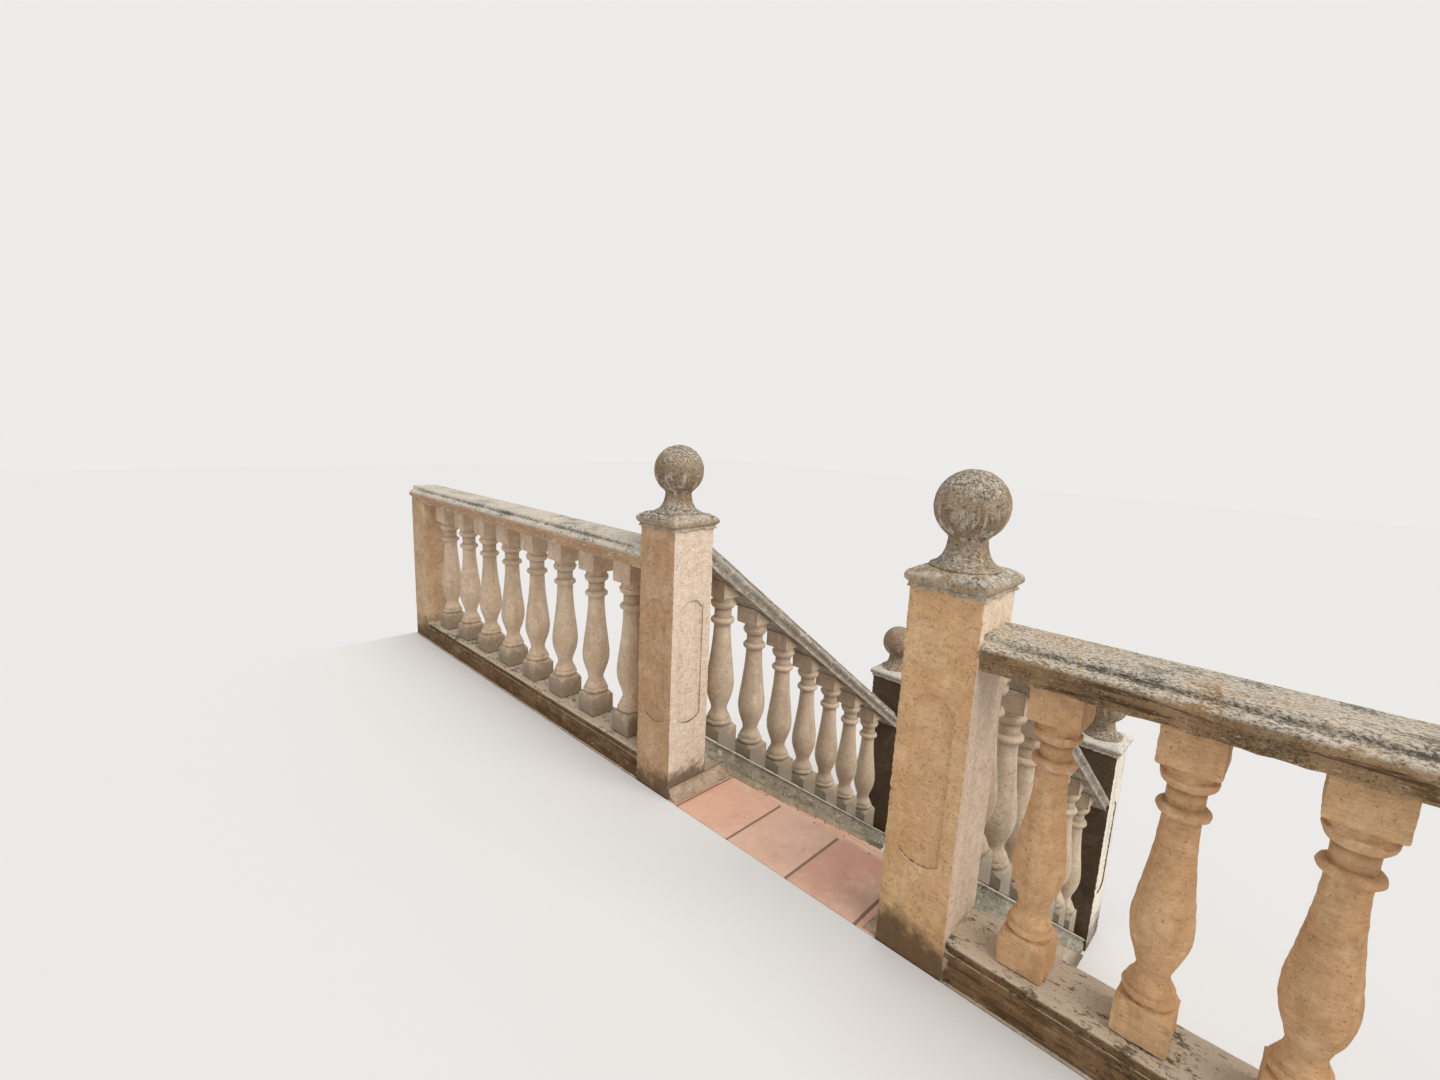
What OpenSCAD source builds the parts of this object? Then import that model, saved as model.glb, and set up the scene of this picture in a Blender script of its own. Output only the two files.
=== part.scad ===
// Stone balustrade with a short garden stair, in millimetres.
// The origin is at ground level in the middle of the plan: X runs along the
// level runs, the stair climbs towards -Y, and Z is up.

/* [Stair] */
// Height of one rise
rise = 181.7; // [150:0.1:190]
// Depth of one tread, nosing to nosing
going = 244.5; // [230:0.5:320]
// Distance from the axis of the upper newels to the first nosing
top_nosing = 215; // [160:1:300]
// Distance from the last nosing to the axis of the lower newels
foot_run = 405.5; // [330:0.5:480]
// Clear width between the stair walls
clear_w = 928; // [700:1:1400]
// Thickness of a tread slab
tread_t = 42; // [25:1:60]
// How far a tread stands out over the riser below it
nosing_out = 14; // [0:1:30]

/* [Newels] */
// Width of a square newel shaft, and thickness of the walls
newel_w = 200; // [190:1:260]
// Height of the newel shaft above the raked handrail where they meet
newel_above_rail = 58; // [30:1:120]
// Depth of the sunk panel on a newel face
panel_depth = 6; // [2:0.5:12]
// Width of the sunk panel
panel_w = 114; // [70:1:140]
// Height of the panel's foot above the newel's foot
panel_foot = 295; // [150:1:350]
// Height of the plain stone between the panel's crown and the cap
panel_head = 270; // [100:1:300]
// Rise of the panel's arched head over its two small ledges
panel_arch = 30; // [10:1:40]
// Width of the ledges beside the arched head
panel_ledge = 9; // [4:1:16]
// Depth of the panel's round foot
panel_sag = 21; // [6:1:34]

/* [Caps and balls] */
// How far the square cap stands out over the shaft
cap_out = 16; // [8:1:40]
// Height of the cap
cap_h = 60; // [48:1:76]
// Height of the narrow band under the cap's half-round edge
cap_band_h = 12; // [6:1:16]
// Height of the cap's sloped top
cap_slope_h = 8; // [2:1:14]
// Diameter of the ball
ball_d = 192; // [150:1:210]
// Diameter of the neck where it spreads onto the cap
neck_foot_d = 186; // [150:1:192]
// Diameter of the neck under the ball
neck_d = 102; // [80:1:125]
// Height of the hollow neck
neck_h = 77.5; // [50:0.5:95]

/* [Level runs] */
// Clear length between a newel and its end pier
level_run = 2173; // [1900:1:3200]
// Balusters in a level run
level_count = 8; // [4:1:10]
// Width of an end pier
pier_w = 200; // [150:1:260]
// Depth of an end pier, front to back
pier_t = 180; // [140:1:190]
// Height of the level base rail
base_h = 118; // [80:1:160]
// Width of the base rails
base_w = 184; // [150:1:190]
// Height of the level handrail
rail_h = 98; // [80:1:130]
// Width of the handrails over their rounds
rail_w = 200; // [176:1:230]

/* [Raked runs] */
// Balusters in a raked run
raked_count = 7; // [4:1:8]
// Height of the raked base rail's top above the line of nosings
string_up = 116; // [100:1:200]
// Upright thickness of the raked base rail
string_t = 94; // [60:1:100]
// Upright thickness of the raked handrail
raked_rail_t = 95; // [80:1:130]

/* [Balusters] */
// Distance from a newel or pier face to the nearest baluster axis
end_gap = 173; // [120:1:220]
// Width of a baluster's square foot block
foot_w = 116; // [110:1:140]
// Height of a baluster's square foot block
foot_h = 98; // [80:1:115]
// Height of the low sloped top of the foot block
foot_slope_h = 10; // [4:1:16]
// Height of the turned stem between foot block and head block
stem_h = 570; // [510:1:660]
// Width of a baluster's square head block
head_w = 120; // [114:1:150]
// Height of the head block on a level run
head_h = 99; // [60:1:120]
// Height of the head block's lower side on a raked run
raked_head_h = 36; // [24:1:60]
// Radius of the rounded edge under the head block
head_round = 10; // [6:1:16]
// Radius of the ring at the stem's foot
foot_ring_r = 58; // [50:0.5:62]
// Height of the ring at the stem's foot
foot_ring_h = 22; // [16:1:30]
// Height of the waist above the stem's foot
waist_up = 68; // [56:1:90]
// Radius of the waist
waist_r = 36; // [25:0.5:42]
// Height of the belly above the stem's foot
belly_up = 182; // [150:1:230]
// Radius of the belly
belly_r = 62.5; // [55:0.5:70]
// Distance from the ring's middle to the head block
ring_down = 102; // [90:1:140]
// Radius of the ring round the stem
ring_r = 53; // [48:0.5:62]
// Height of the ring round the stem
ring_h = 28; // [20:1:36]
// Radius of the throats over and under the ring
throat_r = 38; // [30:0.5:44]
// Radius of the round under the head block
bell_r = 56; // [50:0.5:59]
// Height of the round under the head block, with its bands
bell_h = 48; // [42:1:60]

/* [Hidden] */
$fn = 48;

// Six rises, so five treads under the landing
rises = 6;
slope = rise / going;
rake = atan(slope);
upper_z = rises * rise;

// Plan: the newels stand on the axes of the walls
axis_x = (clear_w + newel_w) / 2;
run = top_nosing + (rises - 1) * going + foot_run;
upper_y = -run / 2;
lower_y = run / 2;
back_y = upper_y - newel_w / 2;
first_nosing_y = upper_y + top_nosing;
rake_start_y = upper_y + newel_w / 2;
rake_end_y = lower_y - newel_w / 2;
run_start_x = axis_x + newel_w / 2;
pier_x = run_start_x + level_run;
end_x = pier_x + pier_w;

// Heights on the rake, measured upright
raked_foot_mid = foot_h - slope * foot_w / 2;
raked_head_mid = raked_head_h + slope * head_w / 2;
raked_clear = raked_foot_mid + stem_h + raked_head_mid;
level_clear = foot_h + stem_h + head_h;
rail_z = upper_z + base_h + level_clear;
newel_h = slope * (first_nosing_y - rake_start_y) + string_up + raked_clear
  + raked_rail_t + newel_above_rail;
cap_w = newel_w + 2 * cap_out;
level_pitch = (level_run - 2 * end_gap) / (level_count - 1);
raked_pitch = (rake_end_y - rake_start_y - 2 * end_gap) / (raked_count - 1);

// Longer than any raked piece, so that the cuts at the newels go right through
reach = run + 2 * newel_w;

function nosing_z(y) = upper_z - slope * (y - first_nosing_y);
function string_z(y) = nosing_z(y) + string_up;

// Points on an arc round [x, y], from angle a to angle b
function arc(x, y, r, a, b, n) =
  [for (i = [0:n]) [x + r * cos(a + (b - a) * i / n), y + r * sin(a + (b - a) * i / n)]];

// Points on a smooth curve from p to s with handles q and r, without p itself
function curve(p, q, r, s, n) =
  [for (i = [1:n]) let (t = i / n, u = 1 - t)
    u * u * u * p + 3 * u * u * t * q + 3 * u * t * t * r + t * t * t * s];

// A right-hand outline closed by its own mirror image
function both_sides(half) =
  concat(half, [for (i = [len(half) - 1:-1:0]) [-half[i][0], half[i][1]]]);

// Section of a handrail: small foot edge, hollow, big round, groove and rounded top tier
rail_round = 24;
rail_foot_in = 8;
rail_foot_h = 7;
rail_hollow = 4;
rail_hollow_h = 26;
rail_tier_in = 22;
rail_tier_round = 10;
rail_crown = 2;
function rail_section(h, tall) =
  let (k = tall / h, c = rail_w / 2 - rail_round, m = rail_hollow_h + rail_round * 1.1,
       tier = rail_w / 2 - rail_tier_in, foot = rail_w / 2 - rail_foot_in)
  [for (p = both_sides(concat(
    [[foot, 0], [foot, rail_foot_h], [foot - rail_hollow, rail_foot_h + 5],
     [foot - rail_hollow, rail_hollow_h]],
    arc(c, m, rail_round, -50, 75, 9),
    [[tier, m + rail_round + 2]],
    arc(tier - rail_tier_round, h - rail_crown - rail_tier_round, rail_tier_round, 0, 80, 4),
    [[0, h]])))
    [p[0], p[1] * k]];

// Section of a base rail: plain face, small groove and rounded upper edge
base_groove = 5;
base_groove_h = 9;
base_lip_h = 24;
function base_section(h, tall) =
  let (k = tall / h, w = base_w / 2, lip = h - base_lip_h, r = base_lip_h / 2)
  [for (p = both_sides(concat(
    [[w - 2, 0], [w - 2, lip - base_groove_h], [w - 2 - base_groove, lip - base_groove_h],
     [w - 2 - base_groove, lip]],
    arc(w - r, lip + r, r, -60, 90, 5))))
    [p[0], p[1] * k]];

// Outline of the turned stem, from its foot up, with a tenon into the block at each end
stem_band = 4;
groove_in = 6;
tenon_r = 30;
tenon = 12;
function stem_outline() =
  let (top = stem_h, ring_z = top - ring_down, bell_z = top - bell_h,
       foot_ring = foot_ring_h / 2, groove_z = stem_band / 2 + foot_ring_h + 2,
       flare = [foot_ring_r - groove_in - 1, groove_z],
       waist = [waist_r, waist_up], belly = [belly_r, belly_up],
       throat = [throat_r, ring_z - ring_h / 2 - stem_band],
       bell = [throat_r + stem_band, bell_z],
       top_r = min(bell_r - 3, head_w / 2 - head_round - 1))
  concat(
    [[0, -tenon], [tenon_r, -tenon], [tenon_r, 0], [foot_ring_r - groove_in, 0]],
    arc(foot_ring_r - foot_ring, stem_band / 2 + foot_ring, foot_ring, -80, 80, 7),
    [flare],
    curve(flare, flare + [0, 16], waist - [0, 18], waist, 6),
    curve(waist, waist + [0, 26], belly - [0, 56], belly, 8),
    curve(belly, belly + [0, 57], throat + [2, -124], throat, 9),
    arc(ring_r - ring_h / 2, ring_z, ring_h / 2, -80, 80, 8),
    [[throat_r, ring_z + ring_h / 2 + 2], [throat_r, bell_z], bell],
    curve(bell, bell + [8, 3], [bell_r - 1, bell_z + 14], [bell_r, bell_z + 24], 5),
    [[bell_r, bell_z + 30], [top_r, bell_z + 32], [top_r, top], [tenon_r, top],
     [tenon_r, top + tenon], [0, top + tenon]]);

// Half outline of a block whose lower edge is rounded
function head_half(tall) =
  concat(arc(head_w / 2 - head_round, head_round, head_round, -90, 0, 5), [[head_w / 2, tall]]);

// Sections drawn upright and carried along +X or +Y
module along_x(x_from, x_to) {
  translate([x_from, 0, 0]) rotate([90, 0, 90]) linear_extrude(x_to - x_from) children();
}
module along_y(y_from, y_to) {
  translate([0, y_to, 0]) rotate([90, 0, 0]) linear_extrude(y_to - y_from) children();
}

// A square block with the same moulded outline on all four sides
module moulded_block(half, w) {
  intersection() {
    along_x(-w / 2, w / 2) polygon(both_sides(half));
    along_y(-w / 2, w / 2) polygon(both_sides(half));
  }
}

// The space between the upper and the lower newel of one side, over the ground
module between_newels() {
  intersection() {
    children();
    translate([-newel_w, rake_start_y, 0])
      cube([2 * newel_w, rake_end_y - rake_start_y, upper_z + 2 * newel_h]);
  }
}

// A section carried down the rake, its underside on the line that is up_z over the nosings
module down_the_rake(up_z) {
  between_newels()
    translate([0, 0, nosing_z(0) + up_z]) rotate([-rake, 0, 0])
      along_y(-reach, reach) children();
}

// Left is -X: the right-hand pieces are the mirror image of the left-hand ones
module side(s) {
  translate([s * axis_x, 0, 0]) children();
}

module turned_stem() {
  rotate_extrude() polygon(stem_outline());
}

// The foot block has a low sloped top, and its corners are cut back to a round there
module foot_block(tall) {
  half_w = foot_w / 2;
  seat_r = foot_ring_r + 2;
  corner_r = foot_w * 0.75;
  intersection() {
    moulded_block([[half_w, 0], [half_w, tall - foot_slope_h], [half_w - foot_slope_h / 2, tall]],
      foot_w);
    rotate_extrude()
      polygon([[0, 0], [corner_r, 0], [corner_r, tall - (corner_r - seat_r) * 0.7], [seat_r, tall],
        [0, tall]]);
  }
}

module head_block(tall) {
  moulded_block(head_half(tall), head_w);
}

module level_baluster() {
  foot_block(foot_h);
  translate([0, 0, foot_h]) turned_stem();
  translate([0, 0, foot_h + stem_h]) head_block(head_h);
}

// The same baluster with its ends cut to the rake, z 0 being the rail's top at its axis
module raked_baluster() {
  spare = slope * head_w;
  half = head_w;
  intersection() {
    union() {
      translate([0, 0, raked_foot_mid - foot_h - spare]) foot_block(foot_h + spare);
      translate([0, 0, raked_foot_mid]) turned_stem();
      translate([0, 0, raked_foot_mid + stem_h]) head_block(raked_head_mid + spare);
    }
    along_x(-half, half) polygon([[-half, slope * half], [half, -slope * half],
      [half, raked_clear - slope * half], [-half, raked_clear + slope * half]]);
  }
}

// A flat arc of half width w and rise h, its crown at z; h below 0 turns it upside down
function flat_arch(w, h, z) =
  let (r = (w * w + h * h) / (2 * abs(h)), spread = asin(w / r), turn = h > 0 ? 90 : -90)
  arc(0, z - sign(h) * r, r, turn - spread, turn + spread, 12);

module panel_recess() {
  crown = newel_h - panel_head;
  shoulder = crown - panel_arch;
  translate([0, -newel_w / 2 + panel_depth, 0]) rotate([90, 0, 0])
    linear_extrude(2 * panel_depth)
      polygon(concat(flat_arch(panel_w / 2, -panel_sag, panel_foot), [[panel_w / 2, shoulder]],
        flat_arch(panel_w / 2 - panel_ledge, panel_arch, crown), [[-panel_w / 2, shoulder]]));
}

// A newel shaft with a sunk panel on each of the faces turned to the angles given
module newel_shaft(faces) {
  difference() {
    translate([-newel_w / 2, -newel_w / 2, 0]) cube([newel_w, newel_w, newel_h]);
    for (a = faces) rotate([0, 0, a]) panel_recess();
  }
}

module newel(s, y, z, faces) {
  color("tan") translate([s * axis_x, y, z]) newel_shaft(faces);
}

module cap(s, y, z) {
  band_w = newel_w / 2 + cap_out * 0.45;
  r = (cap_h - cap_band_h - cap_slope_h) / 2;
  color("darkkhaki") translate([s * axis_x, y, z + newel_h])
    moulded_block(concat([[band_w, 0], [band_w, cap_band_h]],
      arc(cap_w / 2 - r, cap_band_h + r, r, -80, 80, 10), [[neck_foot_d / 2 - 6, cap_h]]), cap_w);
}

// The ball and its hollow neck are one turned piece
neck_band_h = 4;
module ball(s, y, z) {
  r = ball_d / 2;
  foot = neck_foot_d / 2;
  throat = neck_d / 2;
  seat = sqrt(r * r - throat * throat);
  color("rosybrown") translate([s * axis_x, y, z + newel_h + cap_h]) {
    rotate_extrude()
      polygon(concat([[0, 0], [foot, 0], [foot, neck_band_h]],
        curve([foot, neck_band_h], [throat + 14, 12], [throat + 2, 36], [throat, neck_h], 8),
        [[throat, neck_h + seat / 2], [0, neck_h + seat / 2]]));
    translate([0, 0, neck_h + seat]) sphere(r);
  }
}

module base_rail(s) {
  color("gray") translate([0, upper_y, upper_z])
    along_x(s < 0 ? -pier_x : run_start_x, s < 0 ? -run_start_x : pier_x)
      polygon(base_section(base_h, base_h));
}

module handrail(s) {
  color("lightgray") translate([0, upper_y, rail_z])
    along_x(s < 0 ? -end_x : run_start_x, s < 0 ? -run_start_x : end_x)
      polygon(rail_section(rail_h, rail_h));
}

module end_pier(s) {
  color("tan") translate([s * (pier_x + pier_w / 2) - pier_w / 2, upper_y - pier_t / 2, upper_z])
    cube([pier_w, pier_t, rail_z - upper_z]);
}

module balusters(s) {
  color("wheat")
    for (i = [0:level_count - 1])
      translate([s * (run_start_x + end_gap + i * level_pitch), upper_y, upper_z + base_h])
        level_baluster();
}

module raked_base_rail(s) {
  color("gray") side(s) down_the_rake(string_up - string_t)
    polygon(base_section(base_h, string_t * cos(rake)));
}

module raked_handrail(s) {
  color("lightgray") side(s) down_the_rake(string_up + raked_clear)
    polygon(rail_section(rail_h, raked_rail_t * cos(rake)));
}

module raked_balusters(s) {
  color("wheat") side(s)
    for (i = [0:raked_count - 1])
      let (y = rake_start_y + end_gap + i * raked_pitch)
        translate([0, y, string_z(y)]) raked_baluster();
}

// The wall under a level run goes on under its newel, up to the stair
module terrace_wall(s) {
  color("dimgray")
    translate([s < 0 ? -end_x : clear_w / 2, back_y, 0])
      cube([end_x - clear_w / 2, newel_w, upper_z]);
}

// The wall under a raked base rail, sloped on top and ending where it meets the ground
module stair_wall(s) {
  under = string_up - string_t;
  foot_y = min(first_nosing_y + (upper_z + under) / slope, rake_end_y);
  color("dimgray") side(s)
    along_x(-newel_w / 2, newel_w / 2)
      polygon([[rake_start_y, 0], [foot_y, 0], [foot_y, nosing_z(foot_y) + under],
        [rake_start_y, nosing_z(rake_start_y) + under]]);
}

// Top of the core and face of the riser at step k, the landing being step 0
function core_z(k) = upper_z - k * rise - tread_t;
function riser_y(k) = first_nosing_y + k * going - nosing_out;

module stair_core() {
  color("dimgray")
    along_x(-clear_w / 2, clear_w / 2)
      polygon(concat([[back_y, 0], [back_y, core_z(0)]],
        [for (k = [0:rises - 1], end = [0, 1])
          [riser_y(k), end == 0 ? core_z(k) : k == rises - 1 ? 0 : core_z(k + 1)]]));
}

module slab(y_from, y_to, z_top) {
  color("sienna") translate([-clear_w / 2, y_from, z_top - tread_t])
    cube([clear_w, y_to - y_from, tread_t]);
}

module landing() {
  slab(back_y, first_nosing_y, upper_z);
}

module tread(k) {
  slab(riser_y(k - 1), first_nosing_y + k * going, upper_z - k * rise);
}

terrace_wall(-1);  // terrace_wall_left
terrace_wall(1);  // terrace_wall_right
stair_wall(-1);  // stair_wall_left
stair_wall(1);  // stair_wall_right
stair_core();
landing();
tread(1);  // tread_1
tread(2);  // tread_2
tread(3);  // tread_3
tread(4);  // tread_4
tread(5);  // tread_5
newel(-1, upper_y, upper_z, [0, 90]);  // newel_upper_left
newel(1, upper_y, upper_z, [0, -90]);  // newel_upper_right
newel(-1, lower_y, 0, [90, 180, -90]);  // newel_lower_left
newel(1, lower_y, 0, [90, 180, -90]);  // newel_lower_right
cap(-1, upper_y, upper_z);  // cap_upper_left
cap(1, upper_y, upper_z);  // cap_upper_right
cap(-1, lower_y, 0);  // cap_lower_left
cap(1, lower_y, 0);  // cap_lower_right
ball(-1, upper_y, upper_z);  // ball_upper_left
ball(1, upper_y, upper_z);  // ball_upper_right
ball(-1, lower_y, 0);  // ball_lower_left
ball(1, lower_y, 0);  // ball_lower_right
end_pier(-1);  // end_pier_left
end_pier(1);  // end_pier_right
base_rail(-1);  // base_rail_left
base_rail(1);  // base_rail_right
handrail(-1);  // handrail_left
handrail(1);  // handrail_right
balusters(-1);  // balusters_left
balusters(1);  // balusters_right
raked_base_rail(-1);  // raked_base_rail_left
raked_base_rail(1);  // raked_base_rail_right
raked_handrail(-1);  // raked_handrail_left
raked_handrail(1);  // raked_handrail_right
raked_balusters(-1);  // raked_balusters_left
raked_balusters(1);  // raked_balusters_right
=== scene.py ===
import math

import bpy
import numpy as np
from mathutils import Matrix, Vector


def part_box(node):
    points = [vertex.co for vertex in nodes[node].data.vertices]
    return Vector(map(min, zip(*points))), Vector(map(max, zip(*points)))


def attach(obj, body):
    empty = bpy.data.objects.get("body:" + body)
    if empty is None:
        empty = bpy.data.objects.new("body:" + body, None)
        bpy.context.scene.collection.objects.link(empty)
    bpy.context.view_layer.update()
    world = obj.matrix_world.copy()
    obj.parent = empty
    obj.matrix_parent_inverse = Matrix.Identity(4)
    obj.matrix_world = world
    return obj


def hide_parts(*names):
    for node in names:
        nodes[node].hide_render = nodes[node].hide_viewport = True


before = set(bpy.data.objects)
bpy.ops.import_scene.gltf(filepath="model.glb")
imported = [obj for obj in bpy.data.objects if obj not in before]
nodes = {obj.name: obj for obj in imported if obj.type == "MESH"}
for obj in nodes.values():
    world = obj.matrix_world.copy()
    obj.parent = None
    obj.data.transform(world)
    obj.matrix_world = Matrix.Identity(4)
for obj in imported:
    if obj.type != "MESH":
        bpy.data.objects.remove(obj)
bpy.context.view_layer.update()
print("frame loaded:", len(nodes), "nodes")

# Camera and surroundings
cameraSetup = {
    "place": (1.2451, -2.5410, 2.5525),
    "turn": (79.569, -2.395, 44.71),  # degrees
    "lens": 15.99,
    "sensor": 36.0,
    "nearest": 0.02,
}

stageSetup = {
    "floorSize": 60.0,
    "floorThick": 0.04,
    "floorTop": -0.0005,  # just under the lower ground
    "floorColour": (232, 234, 237),
    "floorRoughness": 0.9,
    "terraceDepth": 3.4,  # pale ground that fills the terrace side up to its level
    "terraceGap": 0.002,
    "terraceDrop": 0.001,
}

lightSetup = {
    "skyColour": (250, 250, 250),
    "skyStrength": 0.58,
    "backColour": (238, 236, 233),
    "backStrength": 1.0,
    "sunPlace": (4, 2, 6),
    "sunFrom": (1.0, -0.05, 1.1),
    "sunAngle": 48.0,  # degrees: a very soft sun
    "sunPower": 2.1,
    "sunColour": (255, 246, 234),
}


def colour(chart):
    # from the values of a paint chart to the renderer's own
    def straight(v):
        v = v / 255
        return v / 12.92 if v <= 0.04045 else ((v + 0.055) / 1.055) ** 2.4
    return tuple(straight(v) for v in chart) + (1.0,)


def clearSelection():
    if bpy.context.object and bpy.context.object.mode != "OBJECT":
        bpy.ops.object.mode_set(mode="OBJECT")
    bpy.ops.object.select_all(action="DESELECT")


def pick(piece):
    clearSelection()
    piece.select_set(True)
    bpy.context.view_layer.objects.active = piece


def editing(piece, selected="DESELECT"):
    pick(piece)
    bpy.ops.object.mode_set(mode="EDIT")
    bpy.ops.mesh.select_all(action=selected)


def objectMode():
    bpy.ops.object.mode_set(mode="OBJECT")


def settle(piece, name):
    # the place goes into the mesh and the object to the origin
    pick(piece)
    bpy.ops.object.transform_apply(location=True, rotation=True, scale=True)
    piece.name = name
    piece.data.name = name
    return piece


class Wire:
    # a shader socket that can be used in sums

    def __init__(self, tree, socket=None):
        self.tree = tree
        self.socket = socket

    def node(self, kind, settings=None, inputs=None, output=0):
        made = self.tree.nodes.new("ShaderNode" + kind)
        for name, value in (settings or {}).items():
            if name == "stops":
                ramp = made.color_ramp
                while len(ramp.elements) < len(value):
                    ramp.elements.new(0.5)
                for element, (position, shade) in zip(ramp.elements, value):
                    element.position = position
                    element.color = shade
            else:
                setattr(made, name, value)
        for name, value in (inputs or {}).items():
            if isinstance(value, Wire):
                self.tree.links.new(value.socket, made.inputs[name])
            else:
                made.inputs[name].default_value = value
        return Wire(self.tree, made.outputs[output] if len(made.outputs) else None)

    def maths(self, operation, first, second, clamp=False):
        return self.node("Math", {"operation": operation, "use_clamp": clamp}, {0: first, 1: second})

    def __add__(self, other):
        return self.maths("ADD", self, other)

    def __radd__(self, other):
        return self.maths("ADD", other, self)

    def __sub__(self, other):
        return self.maths("SUBTRACT", self, other)

    def __rsub__(self, other):
        return self.maths("SUBTRACT", other, self)

    def __mul__(self, other):
        return self.maths("MULTIPLY", self, other)

    def __rmul__(self, other):
        return self.maths("MULTIPLY", other, self)

    def held(self):
        # kept from 0 to 1
        return self.maths("MULTIPLY", self, 1.0, clamp=True)

    def swing(self, amount):
        # a noise turned into a rise and fall round 0
        return (self - 0.5) * amount

    def between(self, low, high):
        # 0 at low, 1 at high, soft at both ends
        return self.node("MapRange", {"interpolation_type": "SMOOTHSTEP"},
                         {"Value": self, "From Min": low, "From Max": high})

    def part(self, axis):
        return self.node("SeparateXYZ", None, {0: self}, axis)


def mixed(mask, first, second):
    return mask.node("Mix", {"data_type": "RGBA"}, {0: mask, 6: first, 7: second}, 2)


def coated(shade, mask, paint):
    # that paint over a shade, as thick as the mask says
    return mixed(mask.held(), shade, colour(paint))


def toned(shade, value):
    return value.node("HueSaturation", None, {"Value": value, "Color": shade})


def noise(where, scale, detail, rough):
    return where.node("TexNoise", None,
                      {"Vector": where, "Scale": scale, "Detail": detail, "Roughness": rough})


def stretched(where, scale, turn=0.0):
    # a pattern with that many waves a metre each way, turned round the x axis
    return where.node("Mapping", {"vector_type": "TEXTURE"},
                      {"Vector": where, "Rotation": (turn, 0.0, 0.0), "Scale": tuple(1 / s for s in scale)})


def marked(start, name):
    # a value that the mesh holds at each vertex
    return start.node("Attribute", {"attribute_name": name}, None, 2)


def emptyMaterial(name):
    material = bpy.data.materials.new(name)
    material.use_nodes = True
    material.node_tree.nodes.clear()
    return material, Wire(material.node_tree)


def surfaced(start, look, shade, roughness, relief):
    normal = start.node("Bump", None, {"Strength": look["bump"], "Distance": look["pitDepth"],
                                       "Height": relief})
    surface = start.node("BsdfPrincipled", None, {"Base Color": shade, "Roughness": roughness,
                                                  "Normal": normal, "Specular IOR Level": look["shine"]})
    start.node("OutputMaterial", None, {"Surface": surface})


plainStone = {
    "body": (196, 165, 128),  # the stone's main colour
    "second": (176, 140, 102),  # broad mottling
    "third": (212, 190, 162),  # paler clouds in it
    "mottle": 0.6,
    "mottleScale": 5.0,
    "cloudFiner": 2.3,  # how much finer the clouds are than the mottling
    "midScale": 34.0,
    "midSwing": 0.55,  # lighter and darker clouds of a few centimetres
    "speckSwing": 0.5,  # specks of about a centimetre
    "grainSwing": 0.55,  # sand
    "grainScale": 300.0,
    "pitScale": 120.0,
    "pitTone": 0.30,
    "pitLevel": 0.33,  # higher gives more pits
    "pitDepth": 0.0016,
    "shell": 0.12,  # pale grains
    "along": "up",  # way that streaks run
    "streak": 0.10,
    "brush": 0.5,  # short level dashes left by the mould
    "brushScale": (40.0, 40.0, 190.0),
    "sunSide": 0.0,  # painted sunlight: a pale coat on the side turned to the sun
    "sunFace": 0.0,  # x of that side
    "sunReach": (0.024, 0.012),  # how far in from it the painted sunlight starts and is full
    "upFrom": 0.15,  # slope from which a face counts as upward
    "crustLevel": 0.0,  # height above which the sides are weathered as the top is
    "crustSoft": 0.004,
    "crustReach": (0.050, 0.040),  # how far below that height nothing counts as upward
    "hollowGrow": 0.2,  # dark growth in hollows, which also paints the shade in the rails' grooves
    "stain": (104, 84, 58),
    "wash": 0.0,  # pale runs of rain
    "washScale": (44.0, 44.0, 3.0),
    "lichen": (60, 55, 47),
    "lichenTop": 0.6,  # share of upward faces under dark growth
    "lichenSide": 0.05,
    "spreadScale": 7.0,
    "fleckScale": 80.0,
    "pale": (214, 209, 198),  # bleached crust on upward faces
    "paleTop": 0.6,
    "paleSide": 0.0,
    "crustScale": 40.0,
    # colour of the painted sunlight on the side turned to the sun
    "sunColour": (230, 214, 196),
    "stainFoot": 0.0,  # height of the dark foot
    "footLevel": 0.0,
    "footFall": 0.0,  # drop of that foot along y
    "footColour": (84, 62, 38),
    "footRagged": 0.30,
    "edge": (226, 210, 186),
    "edgeWear": 0.55,
    # painted shade with dirt, in creases and in hollows
    "crevice": (84, 66, 46),
    "creviceDark": 0.6,
    "hollowDark": 0.35,
    "roughness": 0.92,
    "bump": 0.85,
    "shine": 0.25,
}

maskSteps = {  # where each mask of the stone starts and where it is full
    "second": (0.38, 0.62), "third": (0.50, 0.70), "sun": (0.30, 0.95), "shell": (0.94, 0.97),
    "streak": (0.48, 0.66), "wash": (0.52, 0.60), "under": (0.15, -0.25),
    "edge": (0.12, 0.34), "crevice": (-0.08, -0.35),
}

streakWays = {  # waves a metre in x, y and z, in the crust and in the runs of dirt
    "up": {"crust": (1.0, 1.0, 1.0), "runs": (30.0, 30.0, 1.8)},
    "x": {"crust": (0.5, 1.0, 1.0), "runs": (7.0, 60.0, 60.0)},
    "rake": {"crust": (1.0, 0.5, 1.0), "runs": (60.0, 7.0, 60.0)},
}


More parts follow.
